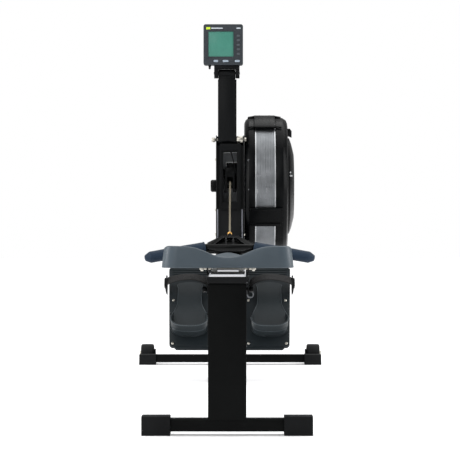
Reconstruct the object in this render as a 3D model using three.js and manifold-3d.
// Air-resistance rowing machine on a single rail, in millimetres.
// +X is the rower's right, +Y points from the seat to the fan, +Z is up.
// The origin is on the floor, midway along the machine and midway between its feet.
import * as THREE from "three";
import { mergeVertices } from "three/addons/utils/BufferGeometryUtils.js";
import Module from "manifold-3d";

const wasm = await Module();
wasm.setup();

// ---------------------------------------------------------------- driving dimensions
const LENGTH = 2440;
const REAR = -LENGTH / 2;
const FOOT_SPAN = 610; // front stabiliser, cap to cap
const GAP = 0.3; // left between pieces that touch

const RAIL_TOP = 355; // running surface of the steel track
const RAIL_FRONT = 150;
const HEAD_HALF = 41; // half width of the rail's head
const LEG_HALF = 43; // half width of the rear upright

const FRAME_HALF = 45;
const FRAME_LOW = 262;
const FRAME_TOP = 350;
const FRAME_FRONT = 1010;
const SHEET = 2.5; // wall of the steel frame
const PANEL_INSET = 6; // rear panel of the mast, set in between its side plates

const MAST_HALF = 46;
const MAST_REAR = 800;
const MAST_TOP = 761;
const WINDOW = { half: 22.3, low: 545.5, high: 706.2 };

const AXLE = { y: 992, z: 600 };
const COVER_R = 228;
const COVER = { left: 47, leftRim: 82, rightRim: 149, right: 190 };
const SPROCKET_R = 14.27; // pitch radius of 14 teeth at 6.35 mm

const ARM_PIVOT = { y: 812, z: 747 };
const ARM = { left: -39.5, right: 21.1 };
const YOKE_PIVOT = { y: 812, z: 965 };
const MONITOR = { left: -86.4, right: 42.2, low: 989.7, high: 1122.3, rear: 784, front: 824 };
const SCREEN = { left: -71, right: 11.6, low: 1016.5, high: 1098.6 };

const SEAT = { y: -853, halfDepth: 120, half: 157.3, low: 369.5 };
const ROLLER = { r: 12.7, z: 368, offset: 62, bolt: 67 };
const LOWER_ROLLER = { r: 9.7, z: 315.7 };

const BOARD = { y: 235, z: 98, tilt: 50, length: 315, inner: 49, outer: 186, thick: 9 };
const HANDLE = { y: 460, z: 400, tilt: 50, half: 257, core: 69, drop: 43, gripR: 18.5 };
const GUIDE = { y: 814, z: 602, r: 8 };
const STRAP = { low: 212, high: 250, thick: 2.6, lean: 0.0077 };
const LOCK = { y: 176, z: 302 };
const WHEEL = { r: 29, y: 1050, z: 36.5, inner: 258, outer: 302 };

// ---------------------------------------------------------------- finishes
const finish = (colour, roughness, metalness = 0) =>
  new THREE.MeshStandardMaterial({ color: colour, roughness, metalness });
const blackSteel = finish(0x151617, 0.55, 0.3);
const blackPlastic = finish(0x1d1f21, 0.5);
const softBlack = finish(0x232527, 0.8);
const slatePlastic = finish(0x2b3238, 0.6);
const slateSeat = finish(0x55606a, 0.65);
const navyRubber = finish(0x1f3044, 0.75);
const steel = finish(0xb9bcc0, 0.3, 1);
const wireScreen = finish(0x8d9194, 0.45, 1);
const aluminium = finish(0x9a9da1, 0.4, 1);
const lcdGreen = finish(0x4d9180, 0.25);
const paleKey = finish(0x9aa5b0, 0.6);
const webbing = finish(0x141414, 0.95);

// ---------------------------------------------------------------- solid helpers
const toSolid = (geometry) => {
  const bare = new THREE.BufferGeometry().setAttribute("position", geometry.getAttribute("position"));
  if (geometry.index) bare.setIndex(geometry.index);
  const merged = mergeVertices(bare, 1e-3);
  return new wasm.Manifold(
    new wasm.Mesh({
      numProp: 3,
      vertProperties: merged.attributes.position.array,
      triVerts: new Uint32Array(merged.index.array),
    }),
  );
};

const toGeometry = (solid) => {
  const mesh = solid.getMesh();
  return new THREE.BufferGeometry()
    .setAttribute("position", new THREE.BufferAttribute(mesh.vertProperties, 3))
    .setIndex(new THREE.BufferAttribute(mesh.triVerts, 1));
};

const join = (...shapes) => toGeometry(shapes.map(toSolid).reduce((a, b) => a.add(b)));
const cut = (shape, ...tools) =>
  toGeometry(tools.map(toSolid).reduce((a, b) => a.subtract(b), toSolid(shape)));
const common = (a, b) => toGeometry(toSolid(a).intersect(toSolid(b)));

const box = (x0, x1, y0, y1, z0, z1) =>
  new THREE.BoxGeometry(x1 - x0, y1 - y0, z1 - z0).translate((x0 + x1) / 2, (y0 + y1) / 2, (z0 + z1) / 2);

// Turns an outline drawn in the plane across an axis into a prism along that axis.
// Outline coordinates are (y, z) for "x", (x, z) for "y" and (x, y) for "z".
const PLANES = {
  x: [new THREE.Vector3(0, 1, 0), new THREE.Vector3(0, 0, 1), new THREE.Vector3(1, 0, 0)],
  y: [new THREE.Vector3(1, 0, 0), new THREE.Vector3(0, 0, 1), new THREE.Vector3(0, -1, 0)],
  z: [new THREE.Vector3(1, 0, 0), new THREE.Vector3(0, 1, 0), new THREE.Vector3(0, 0, 1)],
};

const outline = (points) => new THREE.Shape(points.map(([u, v]) => new THREE.Vector2(u, v)));

const prism = (axis, shape, from, to, curveSegments = 4) => {
  const flat = Array.isArray(shape) ? outline(shape) : shape;
  const made = new THREE.ExtrudeGeometry(flat, { depth: to - from, bevelEnabled: false, curveSegments });
  const [u, v, w] = PLANES[axis];
  const start = w.clone().multiplyScalar(axis === "y" ? -to : from);
  return made.applyMatrix4(new THREE.Matrix4().makeBasis(u, v, w).setPosition(start));
};

const roundedRect = (u0, u1, v0, v1, r) => {
  const shape = new THREE.Shape();
  shape.absarc(u1 - r, v0 + r, r, -Math.PI / 2, 0, false);
  shape.absarc(u1 - r, v1 - r, r, 0, Math.PI / 2, false);
  shape.absarc(u0 + r, v1 - r, r, Math.PI / 2, Math.PI, false);
  shape.absarc(u0 + r, v0 + r, r, Math.PI, Math.PI * 1.5, false);
  return shape;
};

// A cylinder along X about the line (y, z).
const rod = (radius, x0, x1, y, z, sides = 24) =>
  new THREE.CylinderGeometry(radius, radius, x1 - x0, sides)
    .rotateZ(Math.PI / 2)
    .translate((x0 + x1) / 2, y, z);

// A solid of revolution about the line (y, z) along X. The profile is [x, radius] pairs, closed by the caller
// or ending on the axis, with x rising along its outer side.
const turned = (profile, y, z, sides = 48) =>
  new THREE.LatheGeometry(profile.map(([x, r]) => new THREE.Vector2(r, x)), sides)
    .rotateZ(-Math.PI / 2)
    .translate(0, y, z);

// A round bar along a smooth curve through the given points.
const bentRod = (points, radius, steps, sides = 8) => {
  const path = new THREE.CatmullRomCurve3(points.map((p) => new THREE.Vector3(...p)));
  const section = new THREE.Shape().absarc(0, 0, radius, 0, Math.PI * 2, false);
  return new THREE.ExtrudeGeometry(section, { steps, extrudePath: path, curveSegments: sides });
};

const part = new THREE.Group();
const add = (name, geometry, material, group = part) => {
  const mesh = new THREE.Mesh(geometry, material);
  mesh.name = name;
  group.add(mesh);
  return mesh;
};

// A group turned about X by tilt degrees, whose own +Y then climbs towards the fan.
const tiltedGroup = (y, z, tilt) => {
  const group = new THREE.Group();
  group.position.set(0, y, z);
  group.rotation.x = THREE.MathUtils.degToRad(tilt);
  part.add(group);
  return group;
};

const SIDES = [
  ["left", -1],
  ["right", 1],
];
// A box whose x limits are mirrored for the left side.
const sideBox = (side, x0, x1, ...rest) => (side < 0 ? box(-x1, -x0, ...rest) : box(x0, x1, ...rest));
const sideRod = (side, r, x0, x1, ...rest) =>
  side < 0 ? rod(r, -x1, -x0, ...rest) : rod(r, x0, x1, ...rest);

// ---------------------------------------------------------------- rail and rear leg
const LEG_FRONT = REAR + 48;
const LEG_REAR = REAR + 8;
const LEG_TOP = 340;

const railOutline = [
  [-30, 254], [30, 254], [30, 262], [16, 270], [16, 318], [22, 326], [HEAD_HALF, 326], [HEAD_HALF, 353],
  [-HEAD_HALF, 353], [-HEAD_HALF, 326], [-22, 326], [-16, 318], [-16, 270], [-30, 262],
];
const railBody = cut(
  prism("y", railOutline, REAR + 15, RAIL_FRONT),
  box(-38, 38, REAR, RAIL_FRONT + 1, 329, 350), // hollow head, open at both ends
  box(-13, 13, REAR, RAIL_FRONT + 1, 265, 323), // hollow web
  box(-60, 60, REAR, LEG_FRONT + GAP, 240, 342), // step over the top of the leg
);
const tongue = cut(
  box(-22, 22, RAIL_FRONT - 60, RAIL_FRONT + 85, 276, 324),
  box(-18, 18, RAIL_FRONT - 61, RAIL_FRONT + 86, 280, 320),
);
add("rail", join(railBody, tongue), aluminium);

const trackOutline = [
  [-41.5, 353.3], [41.5, 353.3], [41.5, 358], [39.8, 358], [39.8, RAIL_TOP],
  [-39.8, RAIL_TOP], [-39.8, 358], [-41.5, 358],
];
add("rail_track", prism("y", trackOutline, REAR + 14.5, RAIL_FRONT), steel);

const capOutline = [
  [-43, 341], [43, 341], [46.5, 351], [43.5, 355.6], [-43.5, 355.6], [-46.5, 351],
];
add("rail_end_cap", prism("y", capOutline, REAR, REAR + 14), blackPlastic);

const rearBar = { half: 186, y0: REAR + 15, y1: REAR + 53, z0: 9.3, z1: 37.6 };
const rearUpright = cut(
  box(-LEG_HALF, LEG_HALF, LEG_REAR, LEG_FRONT, rearBar.z1 - 2, LEG_TOP),
  box(-LEG_HALF + SHEET, LEG_HALF - SHEET, LEG_REAR + SHEET, LEG_FRONT - SHEET, 60, LEG_TOP + 1),
);
// A square tube along X with a 3 mm wall, open at both ends.
const footTube = ({ half, y0, y1, z0, z1 }) =>
  cut(box(-half, half, y0, y1, z0, z1), box(-half - 1, half + 1, y0 + 3, y1 - 3, z0 + 3, z1 - 3));
add("rear_leg", join(rearUpright, footTube(rearBar)), blackSteel);

// A rubber shoe pushed over the end of a square foot bar.
const footCap = (side, x0, x1, y0, y1, top, bar) => {
  const shoe = prism("x", roundedRect(y0, y1, 0, top, 4), side < 0 ? -x1 : x0, side < 0 ? -x0 : x1);
  const socket = [bar.y0 - GAP, bar.y1 + GAP, bar.z0 - GAP, bar.z1 + GAP];
  return cut(shoe, sideBox(side, x0 - 1, bar.half + GAP, ...socket));
};
for (const [word, side] of SIDES)
  add(`rear_foot_cap_${word}`, footCap(side, 127.5, 192, REAR + 9, REAR + 59, 44, rearBar), softBlack);

// ---------------------------------------------------------------- seat, carriage and rollers
// Height of the moulded seat: a deep notch at the back, two hollows, a low hump at the front.
const bump = (t, centre, width) => Math.exp(-(((t - centre) / width) ** 2));
const seatHeight = (x, v) => {
  const a = Math.abs(x);
  const notch = Math.exp(-((a / 58) ** 2.4));
  const rearEdge = 421.4 - 26.6 * notch - 8 * bump(a, 160, 11);
  const frontEdge = 394 + 10 * bump(a, 0, 30) + 12 * bump(a, 135, 40);
  const blend = v * v * (3 - 2 * v);
  const hollows = 13 * bump(a, 62, 42) * bump(v, 0.42, 0.24);
  const frontRoll = 14 * Math.max(0, (v - 0.82) / 0.18) ** 2;
  return rearEdge * (1 - blend) + frontEdge * blend - hollows - frontRoll;
};

const seatBlock = () => {
  const columns = 24;
  const rows = 14;
  const block = new THREE.BoxGeometry(SEAT.half * 2, SEAT.halfDepth * 2, 1, columns, rows, 1);
  const position = block.getAttribute("position");
  for (let i = 0; i < position.count; i++) {
    const v = (position.getY(i) + SEAT.halfDepth) / (2 * SEAT.halfDepth);
    const top = position.getZ(i) > 0;
    position.setZ(i, top ? seatHeight(position.getX(i), v) : SEAT.low);
  }
  return block.translate(0, SEAT.y, 0);
};
const seatPlan = roundedRect(
  -SEAT.half + 0.5, SEAT.half - 0.5, SEAT.y - SEAT.halfDepth + 0.5, SEAT.y + SEAT.halfDepth - 0.5, 38,
);
const seatCavity = box(-138, 138, SEAT.y - 108, SEAT.y + 104, SEAT.low - 1, 384.6); // room for the carriage
add("seat_pad", cut(common(seatBlock(), prism("z", seatPlan, SEAT.low - 5, 440)), seatCavity), slateSeat);

const CARRIAGE = { half: 50, inner: 47, reach: 95, low: 303, top: 384 };
const carriageSide = [
  [-CARRIAGE.reach, CARRIAGE.top], [-CARRIAGE.reach, 352], [-30, 346], [-16, CARRIAGE.low],
  [16, CARRIAGE.low], [30, 346], [CARRIAGE.reach, 352], [CARRIAGE.reach, CARRIAGE.top],
].map(([y, z]) => [SEAT.y + y, z]);
const carriage = join(
  prism("x", carriageSide, -CARRIAGE.half, -CARRIAGE.inner),
  prism("x", carriageSide, CARRIAGE.inner, CARRIAGE.half),
  box(-CARRIAGE.half, CARRIAGE.half, SEAT.y - CARRIAGE.reach, SEAT.y + CARRIAGE.reach, 381, CARRIAGE.top),
);
const boltHole = (y, z) => rod(4.4, -70, 70, SEAT.y + y, z, 16);
const carriageHoles = [
  boltHole(-ROLLER.offset, ROLLER.z),
  boltHole(ROLLER.offset, ROLLER.z),
  boltHole(0, LOWER_ROLLER.z),
];
add("seat_carriage", cut(carriage, ...carriageHoles), blackSteel);

// Two track rollers on one through bolt, with a nut outside each side plate.
const rollerPair = (y) =>
  join(
    rod(4, -ROLLER.bolt, ROLLER.bolt, y, ROLLER.z, 16),
    rod(ROLLER.r, -38, -26, y, ROLLER.z),
    rod(ROLLER.r, 26, 38, y, ROLLER.z),
    rod(7.2, -ROLLER.bolt + 2, -51, y, ROLLER.z, 12),
    rod(7.2, 51, ROLLER.bolt - 2, y, ROLLER.z, 12),
  );
add("rear_rollers", rollerPair(SEAT.y - ROLLER.offset), softBlack);
add("front_rollers", rollerPair(SEAT.y + ROLLER.offset), softBlack);

for (const [word, side] of SIDES)
  add(
    `lower_roller_${word}`,
    join(
      sideRod(side, LOWER_ROLLER.r, 25, 42, SEAT.y, LOWER_ROLLER.z),
      sideRod(side, 4, 24, 60, SEAT.y, LOWER_ROLLER.z, 16),
      sideRod(side, 7, 52, 61, SEAT.y, LOWER_ROLLER.z, 12),
    ),
    softBlack,
  );

// ---------------------------------------------------------------- lower frame, mast and front leg
const frameInside = box(
  -FRAME_HALF + SHEET, FRAME_HALF - SHEET, RAIL_FRONT, FRAME_FRONT - SHEET,
  FRAME_LOW + SHEET, FRAME_TOP - SHEET,
);
add(
  "lower_frame",
  cut(
    box(-FRAME_HALF, FRAME_HALF, RAIL_FRONT + 2, FRAME_FRONT, FRAME_LOW, FRAME_TOP),
    frameInside,
    box(-20, 20, 880, 985, FRAME_TOP - 10, FRAME_TOP + 1), // chain drops through here
  ),
  blackSteel,
);

const mastLow = FRAME_TOP + GAP;
const mastOutline = [
  [MAST_REAR, mastLow], [1006, mastLow], [1030, 440], [1030, 640], [940, MAST_TOP], [MAST_REAR, MAST_TOP],
];
const panelFront = MAST_REAR + PANEL_INSET + SHEET;
const mastInside = [
  [panelFront, 340], [1003.5, 340], [1027.5, 440], [1027.5, 639],
  [938, MAST_TOP + 4], [panelFront, MAST_TOP + 4],
];
const mastShell = cut(
  prism("x", mastOutline, -MAST_HALF, MAST_HALF),
  prism("x", mastInside, -MAST_HALF + SHEET, MAST_HALF - SHEET),
  box(-MAST_HALF + SHEET, MAST_HALF - SHEET, MAST_REAR - 1, MAST_REAR + PANEL_INSET, 340, MAST_TOP + 5),
  box(-WINDOW.half, WINDOW.half, MAST_REAR - 1, MAST_REAR + 15, WINDOW.low, WINDOW.high),
  box(-MAST_HALF + SHEET, MAST_HALF - SHEET, MAST_REAR - 1, MAST_REAR + 15, 728, MAST_TOP + 5), // arm's mouth
  rod(5.4, -MAST_HALF - 1, MAST_HALF + 1, ARM_PIVOT.y, ARM_PIVOT.z, 16),
);
const bearingHousings = [
  rod(20, -MAST_HALF, -30, AXLE.y, AXLE.z, 32),
  rod(20, 30, MAST_HALF, AXLE.y, AXLE.z, 32),
];
const mast = cut(
  join(mastShell, ...bearingHousings),
  rod(8.3, -MAST_HALF - 1, MAST_HALF + 1, AXLE.y, AXLE.z, 24),
);
add("mast", mast, blackSteel);

const BEZEL = { rear: MAST_REAR - 12, front: MAST_REAR + PANEL_INSET - GAP, rim: 5 };
const bezel = prism("y", roundedRect(-33.6, 35.9, 520.6, 733.5, 3), BEZEL.rear, BEZEL.front);
const windowBox = (grow, front) =>
  box(
    -WINDOW.half - grow, WINDOW.half + grow, BEZEL.rear - 8, front,
    WINDOW.low - grow, WINDOW.high + grow,
  );
const bezelWindow = windowBox(0, BEZEL.front + 10);
const bezelStep = windowBox(BEZEL.rim, BEZEL.rear + 5);
add("chain_guide_bezel", cut(bezel, bezelWindow, bezelStep), blackPlastic);

// The guide block straddles its roller; the chain passes through the mouth between its two legs.
const guideBlock = cut(
  join(
    box(-18, 18, GUIDE.y + 4, GUIDE.y + 60, 626, 656), // head, bolted across the mast
    box(-15.5, -9.5, GUIDE.y - 6, GUIDE.y + 40, 577, 640),
    box(9.5, 15.5, GUIDE.y - 6, GUIDE.y + 40, 577, 640),
    box(-20, -9.5, GUIDE.y - 6, GUIDE.y + 20, 575, 581),
    box(9.5, 20, GUIDE.y - 6, GUIDE.y + 20, 575, 581),
    box(-41, 41, GUIDE.y + 40, GUIDE.y + 60, 632, 652),
  ),
  rod(4.3, -30, 30, GUIDE.y, GUIDE.z, 16),
);
add("chain_guide", guideBlock, blackPlastic);
add(
  "guide_roller",
  join(rod(GUIDE.r, -8.5, 8.5, GUIDE.y, GUIDE.z), rod(4, -15, 15, GUIDE.y, GUIDE.z, 16)),
  softBlack,
);

const frontBar = { half: FOOT_SPAN / 2 - 6, y0: 975, y1: 1013, z0: 8.3, z1: 33.5 };
const uprightOutline = [
  [900, FRAME_LOW - GAP], [950, FRAME_LOW - GAP], [frontBar.y1, 20], [frontBar.y0, 20],
];
const uprightInside = [[904, 300], [946, 300], [frontBar.y1 - 6, 60], [frontBar.y0 + 2, 60]];
const frontUpright = cut(
  prism("x", uprightOutline, -FRAME_HALF, FRAME_HALF),
  prism("x", uprightInside, -FRAME_HALF + SHEET, FRAME_HALF - SHEET),
);
// Each wheel's bracket steps out from the bar behind the rubber shoe, then runs back beside the wheel.
const BRACKET = { root: 243, bend: frontBar.y1 + 6.6, face: WHEEL.inner - 0.6 };
const wheelMounts = SIDES.flatMap(([, side]) => [
  sideBox(side, BRACKET.root, 248.7, frontBar.y1 - 1, BRACKET.bend + 4, 18, 32),
  sideBox(side, BRACKET.root, BRACKET.face, BRACKET.bend, BRACKET.bend + 4, 18, 32),
  sideBox(side, BRACKET.face - 5, BRACKET.face, BRACKET.bend, WHEEL.y + 12, 18, 48),
  sideRod(side, 5, BRACKET.face - 1, WHEEL.outer + 2, WHEEL.y, WHEEL.z, 16),
]);
add("front_leg", join(frontUpright, footTube(frontBar), ...wheelMounts), blackSteel);
for (const [word, side] of SIDES) {
  add(
    `front_foot_cap_${word}`,
    footCap(side, 249, FOOT_SPAN / 2, frontBar.y0 - 6, frontBar.y1 + 6, 34.5, frontBar),
    softBlack,
  );
  add(
    `${word}_wheel`,
    cut(
      sideRod(side, WHEEL.r, WHEEL.inner, WHEEL.outer, WHEEL.y, WHEEL.z, 32),
      sideRod(side, 5.4, WHEEL.inner - 1, WHEEL.outer + 1, WHEEL.y, WHEEL.z, 16),
    ),
    softBlack,
  );
}

// Bent wire catch beside the joint, which lets the rail be drawn out of the frame.
add(
  "frame_lock",
  bentRod(
    [
      [FRAME_HALF + GAP, LOCK.y, LOCK.z], [50, LOCK.y, LOCK.z], [52.5, LOCK.y, 296], [52.5, LOCK.y, 264],
      [57, LOCK.y, 257], [66, LOCK.y, 257], [70, LOCK.y, 264], [68, LOCK.y, 273],
    ],
    2.3, 18, 5,
  ),
  steel,
);

// ---------------------------------------------------------------- fan, covers and damper
const fanBlades = 16;
const fanProfile = [
  [96, 9], [96, 30], [104, 34], [104, 178], [112, 178], [112, 34], [120, 30], [120, 9], [96, 9],
];
const fan = [turned(fanProfile, AXLE.y, AXLE.z, 40)];
for (let i = 0; i < fanBlades; i++)
  fan.push(
    box(90, 140, -1.5, 1.5, 108, 192)
      .rotateX((i * 2 * Math.PI) / fanBlades)
      .translate(0, AXLE.y, AXLE.z),
  );
const axleShaft = join(rod(8, -62, 182, AXLE.y, AXLE.z, 24), rod(12, 50, 96.5, AXLE.y, AXLE.z, 24));
add("flywheel", join(...fan, rod(9.5, 95, 121, AXLE.y, AXLE.z, 24), axleShaft), steel);

const teeth = 14;
const toothStations = [
  [0, SPROCKET_R - 3.2], [0.3, SPROCKET_R - 3.2], [0.45, SPROCKET_R + 2], [0.85, SPROCKET_R + 2],
];
const sprocketOutline = [];
for (let i = 0; i < teeth; i++)
  for (const [share, r] of toothStations) {
    const angle = ((i + share) * 2 * Math.PI) / teeth;
    sprocketOutline.push([AXLE.y + r * Math.cos(angle), AXLE.z + r * Math.sin(angle)]);
  }
add(
  "sprocket",
  cut(
    join(prism("x", sprocketOutline, -1.5, 1.5), rod(10.6, -14, 14, AXLE.y, AXLE.z)),
    rod(8.2, -20, 20, AXLE.y, AXLE.z, 24),
  ),
  steel,
);

// Knob-like cap over the end of the axle, outside the mast.
add(
  "axle_end_cap",
  turned(
    [[-46.3, 12], [-63, 12], [-63, 0], [-66, 0], [-66, 16], [-62, 20.5], [-46.3, 20.5], [-46.3, 12]],
    AXLE.y, AXLE.z, 28,
  ),
  blackPlastic,
);

add(
  "flywheel_cover_left",
  turned(
    [
      [COVER.left + GAP, 30], [COVER.left + GAP, 210], [52, 221], [62, COVER_R], [COVER.leftRim, COVER_R],
      [COVER.leftRim, 225], [64, 225], [55, 219], [50, 208], [50, 30], [COVER.left + GAP, 30],
    ],
    AXLE.y, AXLE.z, 48,
  ),
  blackPlastic,
);

// Six equal slots around the axle, through the right cover's face.
const slotsThroughRight = (shape) =>
  [0, 1, 2, 3, 4, 5].map((i) =>
    prism("x", shape, COVER.right - 10, COVER.right + 10)
      .rotateX((i * Math.PI) / 3)
      .translate(0, AXLE.y, AXLE.z),
  );
const airSlots = slotsThroughRight(roundedRect(-34, 34, 62, 128, 14));
add(
  "flywheel_cover_right",
  cut(
    turned(
      [
        [COVER.rightRim, 225], [COVER.rightRim, COVER_R], [174, COVER_R], [185, 221], [COVER.right, 210],
        [COVER.right, 16], [187, 16], [187, 208], [181, 219], [172, 225], [COVER.rightRim, 225],
      ],
      AXLE.y, AXLE.z, 48,
    ),
    ...airSlots,
  ),
  blackPlastic,
);

add(
  "flywheel_screen",
  turned([[70, 220.5], [70, 223.8], [161, 223.8], [161, 220.5], [70, 220.5]], AXLE.y, AXLE.z, 56),
  wireScreen,
);

// A bracket that ties both covers together, as a piece of ring between two angles above the rear horizon.
const ringSector = (low, high, inner, outer, steps) => {
  const at = (r, degrees) => {
    const a = THREE.MathUtils.degToRad(degrees);
    return [AXLE.y - r * Math.cos(a), AXLE.z + r * Math.sin(a)];
  };
  const points = [];
  for (let i = 0; i <= steps; i++) points.push(at(outer, low + ((high - low) * i) / steps));
  for (let i = steps; i >= 0; i--) points.push(at(inner, low + ((high - low) * i) / steps));
  return points;
};
const coverClip = (low, high) =>
  join(
    prism("x", ringSector(low, high, COVER_R + 0.8, COVER_R + 4.5, 6), 61, 172),
    prism("x", ringSector(low, low + 2.5, COVER_R + 0.8, COVER_R + 9, 1), 68, 165),
    prism("x", ringSector(high - 2.5, high, COVER_R + 0.8, COVER_R + 9, 1), 68, 165),
  );
add("upper_cover_clip", coverClip(54, 91), blackPlastic);
add("lower_cover_clip", coverClip(-35, -19), blackPlastic);

const shutters = slotsThroughRight(roundedRect(-26, 26, 66, 124, 12));
add(
  "damper_lever",
  join(
    cut(
      rod(166, 190.6, 192.6, AXLE.y, AXLE.z, 40),
      rod(15.2, 189, 194, AXLE.y, AXLE.z, 24),
      ...shutters,
    ),
    box(190.6, 192.6, AXLE.y - 9, AXLE.y + 9, AXLE.z + 160, AXLE.z + 170),
    prism("y", [[190.6, 768], [206, 762], [206, 784], [200, 792], [190.6, 792]], AXLE.y - 9, AXLE.y + 9),
  ),
  blackPlastic,
);
add(
  "damper_cover",
  turned(
    [
      [190.4, 0], [190.4, 14.6], [208, 14.6], [208, 104], [200, 138], [193.2, 156], [193.2, 161],
      [197, 160], [204, 141], [212, 108], [212, 0],
    ],
    AXLE.y, AXLE.z, 40,
  ),
  blackPlastic,
);

// ---------------------------------------------------------------- monitor and its arm
const armMid = (ARM.left + ARM.right) / 2;
const armSection = [
  [ARM.left, ARM_PIVOT.y - 9], [armMid, ARM_PIVOT.y - 14], [ARM.right, ARM_PIVOT.y - 9],
  [ARM.right, ARM_PIVOT.y + 12], [ARM.left, ARM_PIVOT.y + 12],
];
const barrelLeft = ARM.left + 1.8;
const barrelRight = ARM.right - 3.8;
const heelChamfer = [[-15, -10], [-6, -10], [-15, -2]].map(([y, z]) => [ARM_PIVOT.y + y, ARM_PIVOT.z + z]);
const arm = cut(
  join(
    prism("z", armSection, ARM_PIVOT.z - 9, YOKE_PIVOT.z - 21),
    rod(12.3, barrelLeft, barrelRight, YOKE_PIVOT.y, YOKE_PIVOT.z, 24),
    box(barrelLeft, barrelRight, YOKE_PIVOT.y - 8, YOKE_PIVOT.y + 8, YOKE_PIVOT.z - 22, YOKE_PIVOT.z - 2),
  ),
  box(ARM.left + 3, ARM.right - 3, ARM_PIVOT.y - 6, ARM_PIVOT.y + 9, ARM_PIVOT.z - 17, YOKE_PIVOT.z - 28),
  prism("x", heelChamfer, ARM.left - 1, ARM.right + 1), // clears the bezel when the arm tilts
  rod(5.4, -60, 60, ARM_PIVOT.y, ARM_PIVOT.z, 16),
  rod(4.4, -60, 60, YOKE_PIVOT.y, YOKE_PIVOT.z, 16),
);
add("monitor_arm", arm, blackPlastic);
add(
  "arm_pivot_bolt",
  join(
    rod(5, -60, 52.5, ARM_PIVOT.y, ARM_PIVOT.z, 16),
    rod(7.5, -60, -49, ARM_PIVOT.y, ARM_PIVOT.z, 12),
    rod(12.5, 22.5, 41, ARM_PIVOT.y, ARM_PIVOT.z, 24),
    rod(7.5, 46.4, 52.5, ARM_PIVOT.y, ARM_PIVOT.z, 6),
  ),
  blackPlastic,
);

const earOutline = [[-14, -12], [-8, -17], [8, -17], [14, -12], [23, 14], [-23, 14]].map(([y, z]) => [
  YOKE_PIVOT.y + y,
  YOKE_PIVOT.z + z,
]);
const ear = (x0, x1) => prism("x", earOutline, x0, x1);
add(
  "monitor_yoke",
  join(
    ear(-51.8, -38),
    ear(17.6, 31),
    box(-51.8, 31, YOKE_PIVOT.y - 23, YOKE_PIVOT.y + 12, YOKE_PIVOT.z + 12.6, MONITOR.low - GAP),
    rod(4, -53, 32, YOKE_PIVOT.y, YOKE_PIVOT.z, 16),
  ),
  blackPlastic,
);

const sideKeys = [0, 1, 2, 3, 4].map((i) => ({
  name: `side_button_${i + 1}`,
  x: 26.9,
  z: 1084.6 - 14.74 * i,
  w: 11.8,
  h: 6.4,
}));
const menuKeys = [
  { name: "units_button", x: -46.1, z: 1002.5, w: 15.3, h: 6.8 },
  { name: "display_button", x: -14.5, z: 1002.5, w: 18.8, h: 6.8 },
  { name: "menu_button", x: 23.6, z: 1002.5, w: 16.8, h: 6.8 },
];
const keyShape = ({ x, z, w, h }, grow) =>
  roundedRect(x - w / 2 - grow, x + w / 2 + grow, z - h / 2 - grow, z + h / 2 + grow, h / 2 - 0.4);
const keyPockets = [...sideKeys, ...menuKeys].map((key) =>
  prism("y", keyShape(key, 0.5), MONITOR.rear - 1, MONITOR.rear + 5, 2),
);
const caseFace = roundedRect(MONITOR.left, MONITOR.right, MONITOR.low, MONITOR.high, 7);
add(
  "monitor_case",
  cut(
    prism("y", caseFace, MONITOR.rear, MONITOR.front),
    box(SCREEN.left, SCREEN.right, MONITOR.rear - 1, MONITOR.rear + 3, SCREEN.low, SCREEN.high),
    ...keyPockets,
  ),
  blackPlastic,
);
add(
  "monitor_screen",
  box(
    SCREEN.left + GAP, SCREEN.right - GAP, MONITOR.rear + 1, MONITOR.rear + 3 - GAP,
    SCREEN.low + GAP, SCREEN.high - GAP,
  ),
  lcdGreen,
);
for (const key of sideKeys)
  add(key.name, prism("y", keyShape(key, 0), MONITOR.rear - 1.2, MONITOR.rear + 3.4, 2), softBlack);
for (const key of menuKeys)
  add(key.name, prism("y", keyShape(key, 0), MONITOR.rear - 1.2, MONITOR.rear + 3.4, 2), paleKey);

// Sensor lead inside the mast, from the arm's foot down to the pick-up beside the fan axle.
add(
  "sensor_cable",
  bentRod(
    [
      [2, 842, 726], [3, 822, 714], [7, 811, 694], [13, 809, 668], [20, 810, 640], [25, 818, 618],
      [28, 842, 604], [28, 930, 600],
    ],
    1.6, 18, 5,
  ),
  blackPlastic,
);

// ---------------------------------------------------------------- handle and chain
const radians = THREE.MathUtils.degToRad;
const handleGroup = tiltedGroup(HANDLE.y, HANDLE.z, HANDLE.tilt);
const webPlate = cut(
  prism(
    "z",
    [
      [-HANDLE.core, -12], [-30, -22], [30, -22], [HANDLE.core, -12], [HANDLE.core, 12], [24, 40], [-24, 40],
      [-HANDLE.core, 12],
    ],
    -9, 9,
  ),
  box(-9.5, 9.5, -6, 33, -4, 12), // open cells between the ribs, from the rower's side
  prism("z", [[-52, -6], [-13, -6], [-13, 33], [-20, 33], [-40, 12], [-52, 4]], -4, 12),
  prism("z", [[13, -6], [52, -6], [52, 4], [40, 12], [20, 33], [13, 33]], -4, 12),
);
const gripBend = Math.atan2(HANDLE.drop, HANDLE.half - HANDLE.core);
const gripLong = Math.hypot(HANDLE.drop, HANDLE.half - HANDLE.core);
const coreStub = (side) => {
  const stub = new THREE.CylinderGeometry(11, 11, 150, 16).rotateZ(Math.PI / 2).translate(75, 0, 0);
  return side > 0
    ? stub.rotateZ(-gripBend).translate(HANDLE.core - 5, 1.9, 0)
    : stub.rotateY(Math.PI).rotateZ(gripBend).translate(-HANDLE.core + 5, 1.9, 0);
};
const eye = new THREE.CylinderGeometry(6, 6, 14, 16).translate(0, 45, 0);
add("handle_frame", join(webPlate, coreStub(-1), coreStub(1), eye), blackPlastic, handleGroup);

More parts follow.
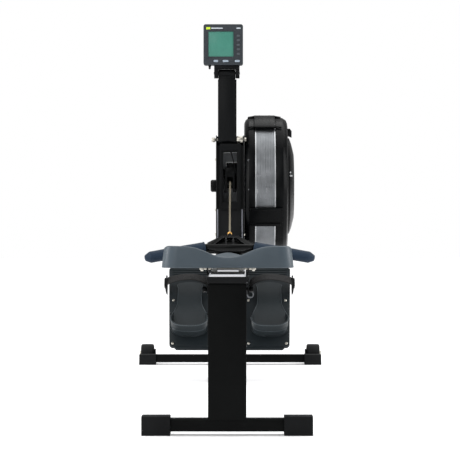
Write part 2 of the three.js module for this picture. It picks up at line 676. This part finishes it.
// Each rubber grip is a sleeve over the bent bar, closed and rounded at its outer end.
const grip = (side) => {
  const r = HANDLE.gripR;
  const sleeveProfile = [
    [11.4, 1], [r - 1.5, 1], [r, 4], [r, gripLong - 18], [r - 1.5, gripLong - 13], [7, gripLong],
    [0, gripLong], [0, 147], [11.4, 147], [11.4, 1],
  ];
  const sleeve = new THREE.LatheGeometry(
    sleeveProfile.map(([radius, x]) => new THREE.Vector2(radius, x)),
    24,
  ).rotateZ(-Math.PI / 2);
  const start = HANDLE.core + 4;
  return side > 0
    ? sleeve.rotateZ(-gripBend).translate(start, 0, 0)
    : sleeve.rotateY(Math.PI).rotateZ(gripBend).translate(-start, 0, 0);
};
for (const [word, side] of SIDES) add(`handle_grip_${word}`, grip(side), navyRubber, handleGroup);

// The chain leaves the top of the guide roller on a tangent and runs straight to the handle's eye.
const eyeReach = 53;
const chainEnd = {
  y: HANDLE.y + eyeReach * Math.cos(radians(HANDLE.tilt)),
  z: HANDLE.z + eyeReach * Math.sin(radians(HANDLE.tilt)),
};
const chainRise = GUIDE.r + 4;
const toGuide = Math.hypot(GUIDE.y - chainEnd.y, GUIDE.z - chainEnd.z);
const chainSlope =
  Math.atan2(GUIDE.z - chainEnd.z, GUIDE.y - chainEnd.y) + Math.asin(chainRise / toGuide);
const chainLength = Math.sqrt(toGuide ** 2 - chainRise ** 2);
add(
  "chain",
  box(-4, 4, 2, chainLength, -3, 3).rotateX(chainSlope).translate(0, chainEnd.y, chainEnd.z),
  steel,
);

// Hook on the frame that the handle's web leans into.
add(
  "handle_hook",
  prism(
    "x",
    [
      [430, FRAME_TOP + GAP], [500, FRAME_TOP + GAP], [500, 366], [489, 380], [487, 400],
      [478, 400], [473, 373], [444, 370], [438, 372.5], [430, 370],
    ],
    -28, 28,
  ),
  blackPlastic,
);

// Elastic return cord, a hairpin inside the lower frame.
add(
  "shock_cord",
  bentRod(
    [
      [-16, 300, 300], [-16, 500, 300], [-16, 780, 300], [-14, 940, 300], [0, 965, 300],
      [14, 940, 300], [16, 780, 300], [16, 500, 300], [16, 300, 300],
    ],
    5, 22, 5,
  ),
  webbing,
);

// ---------------------------------------------------------------- footboards, heel cups and straps
// Lifts a band's heel side and lowers its toe side, the more so the higher it is, as the instep slopes.
const leanBand = (band) => {
  const position = band.getAttribute("position");
  const middle = (STRAP.low + STRAP.high) / 2;
  for (let i = 0; i < position.count; i++) {
    const z = position.getZ(i);
    position.setZ(i, z * (1 + STRAP.lean * (middle - position.getY(i))));
  }
};

for (const [word, side] of SIDES) {
  const group = tiltedGroup(BOARD.y, BOARD.z, BOARD.tilt);
  const mirror = (points) => (side < 0 ? points.map(([x, y]) => [-x, y]).reverse() : points);
  const inner = BOARD.inner;
  const outer = BOARD.outer;
  const mid = (inner + outer) / 2 + 3;

  const plate = side < 0
    ? roundedRect(-outer, -inner, 8, BOARD.length, 12)
    : roundedRect(inner, outer, 8, BOARD.length, 12);
  const lipOutline = mirror([[inner, 0], [outer - 22, 0], [outer - 14, 9], [inner, 9]]);
  const lip = prism("z", lipOutline, -BOARD.thick, -3);
  const ribs = [0, 1, 2].map((i) => sideBox(side, inner + 10, outer - 10, 286 + 8 * i, 290 + 8 * i, -1, 1.8));
  const lug = sideBox(side, FRAME_HALF + GAP, inner + 4, 195, 262, -BOARD.thick, -2); // bolts to the frame
  add(`${word}_footboard`, join(prism("z", plate, -BOARD.thick, 0), lip, lug, ...ribs), slatePlastic, group);

  const sole = prism(
    "z",
    mirror([
      [mid - 55, 62], [mid - 34, 48], [mid + 34, 48], [mid + 55, 62], [mid + 55, 118], [mid + 40, 165],
      [mid + 37, 235], [mid + 40, 252], [mid - 40, 252], [mid - 37, 235], [mid - 40, 165], [mid - 55, 118],
    ]),
    GAP + 0.2, 6,
  );
  // The cup is a U-shaped wall about the heel, tall at the back and falling towards the arch.
  const wall = (grow) => [
    [mid - 55 - grow, 124], [mid - 55 - grow, 76], [mid - 42 - grow * 0.8, 55 - grow * 0.7],
    [mid - 20, 46 - grow], [mid + 20, 46 - grow], [mid + 42 + grow * 0.8, 55 - grow * 0.7],
    [mid + 55 + grow, 76], [mid + 55 + grow, 124],
  ];
  const cupSolid = cut(
    prism("z", mirror(wall(0)), 1, 64),
    prism("z", mirror(wall(-4).map(([x, y]) => [x, y > 120 ? 130 : y])), 5, 70),
  );
  const taper = prism("x", [[30, 0], [130, 0], [130, 16], [74, 64], [30, 64]], -220, 220);
  add(`${word}_heel_cup`, join(sole, common(cupSolid, taper)), slatePlastic, group);

  // Webbing over the instep. Its two ends come down beside the sole, and the outer end carries the buckle.
  const overFoot = [
    [inner + 12, 3], [inner + 14, 26], [inner + 26, 44], [mid - 22, 56], [mid, 59], [mid + 26, 57],
    [outer - 6, 47], [outer + 5, 34], [outer + 6, -6],
  ];
  const bandPoints = [
    ...overFoot,
    ...overFoot.map(([x, z], i) => {
      const a = overFoot[Math.max(0, i - 1)];
      const b = overFoot[Math.min(overFoot.length - 1, i + 1)];
      const run = Math.hypot(b[0] - a[0], b[1] - a[1]);
      return [x + (STRAP.thick * (b[1] - a[1])) / run, z - (STRAP.thick * (b[0] - a[0])) / run];
    }).reverse(),
  ].map(([x, z]) => [side * x, z]);
  const band = prism("y", side < 0 ? bandPoints : [...bandPoints].reverse(), STRAP.low, STRAP.high);
  leanBand(band);
  const buckle = sideBox(side, outer + 2.5, outer + 12, STRAP.low - 5, STRAP.high + 5, 16, 38);
  const innerAnchor = sideBox(side, inner + 6, inner + 17, STRAP.low, STRAP.high, GAP, 9);
  const outerAnchor = sideBox(side, outer + GAP, outer + 7, STRAP.low, STRAP.high, -9, 2);
  add(`${word}_foot_strap`, join(band, buckle, innerAnchor, outerAnchor), webbing, group);
}

export default part;
